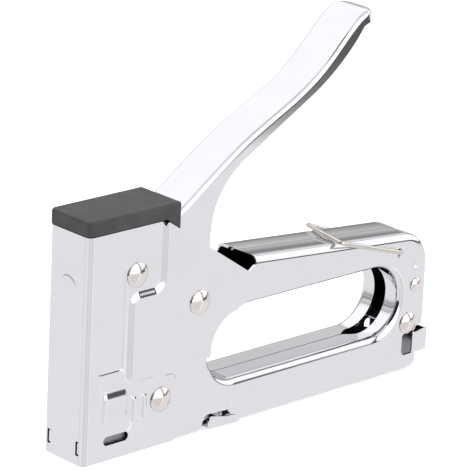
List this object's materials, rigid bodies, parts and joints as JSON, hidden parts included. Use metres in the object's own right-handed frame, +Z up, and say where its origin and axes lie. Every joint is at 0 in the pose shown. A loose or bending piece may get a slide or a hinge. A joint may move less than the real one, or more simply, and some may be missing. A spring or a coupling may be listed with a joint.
{
  "type": "staple gun",
  "caption": "Hand-squeeze staple gun with a chromed pressed-steel body, finger loop, sprung lever handle, top cap, rear-loading magazine and a wire handle lock.",
  "frame": {"origin": "bottom centre of the bounding box: mid-plane, under the middle of the tool's length, at the nose's bottom edge", "axes": "+X from the nose towards the rear of the grip, +Y towards the tool's right side, +Z up; the staple leaves along -Z"},
  "size_m": [0.153, 0.0242, 0.1297],
  "materials": {
    "chrome": "mirror-bright chrome plate",
    "rivet": "nickel-plated, slightly warm",
    "zinc": "bright zinc-plated sheet",
    "tool_steel": "hardened and oiled",
    "spring_steel": "drawn wire, oiled",
    "wire": "nickel-plated wire",
    "cap": "satin, fine moulded grain",
    "rubber": "matte"
  },
  "bodies": {
    "frame": {"front_housing": "chrome", "left_body_shell": "chrome", "right_body_shell": "chrome", "top_cap": "cap", "pivot_rivet": "rivet", "pivot_bush": "zinc", "upper_head_rivet": "rivet", "upper_head_spacer": "zinc", "lower_head_rivet": "rivet", "lower_head_spacer": "zinc", "rear_upper_rivet": "rivet", "rear_upper_spacer": "zinc", "rear_lower_rivet": "rivet", "rear_lower_spacer": "zinc", "driver_guide": "tool_steel", "main_spring": "spring_steel", "spring_seat": "zinc", "bumper": "rubber", "magazine_channel": "chrome"},
    "handle": {"handle": "chrome", "lifting_lever": "tool_steel", "lever_pin": "zinc", "handle_return_spring": "spring_steel"},
    "driver": {"hammer": "tool_steel", "driver_blade": "tool_steel"},
    "loader": {"loader_latch": "chrome", "staple_rail": "zinc", "pusher_guide_rod": "tool_steel", "pusher_spring": "spring_steel"},
    "pusher": {"pusher": "zinc"},
    "lock_wire": {"lock_wire": "wire"}
  },
  "joints": [
    {"name": "handle_pivot", "type": "hinge", "parent": "frame", "child": "handle", "pos_m": [-0.0303, 0, 0.0453], "axis": [0, 1, 0], "range_deg": [0, 40], "stiffness_Nm_per_rad": 0.6, "springref_deg": -20.05},
    {"name": "driver_lift", "type": "slide", "parent": "frame", "child": "driver", "axis": [0, 0, 1], "range_m": [0, 0.017], "deforming": ["main_spring"]},
    {"name": "loader_slide", "type": "slide", "parent": "frame", "child": "loader", "axis": [1, 0, 0], "range_m": [0, 0.105]},
    {"name": "pusher_slide", "type": "slide", "parent": "loader", "child": "pusher", "axis": [1, 0, 0], "range_m": [0, 0.095], "stiffness_N_per_m": 30, "springref_m": -0.06, "deforming": ["pusher_spring"]},
    {"name": "lock_wire_pivot", "type": "hinge", "parent": "frame", "child": "lock_wire", "pos_m": [0.061, 0, 0.0437], "axis": [0, 1, 0], "range_deg": [0, 165]}
  ],
  "couplings": [
    {"joint": "driver_lift", "follows": "handle_pivot", "m_per_rad": 0.02412}
  ]
}
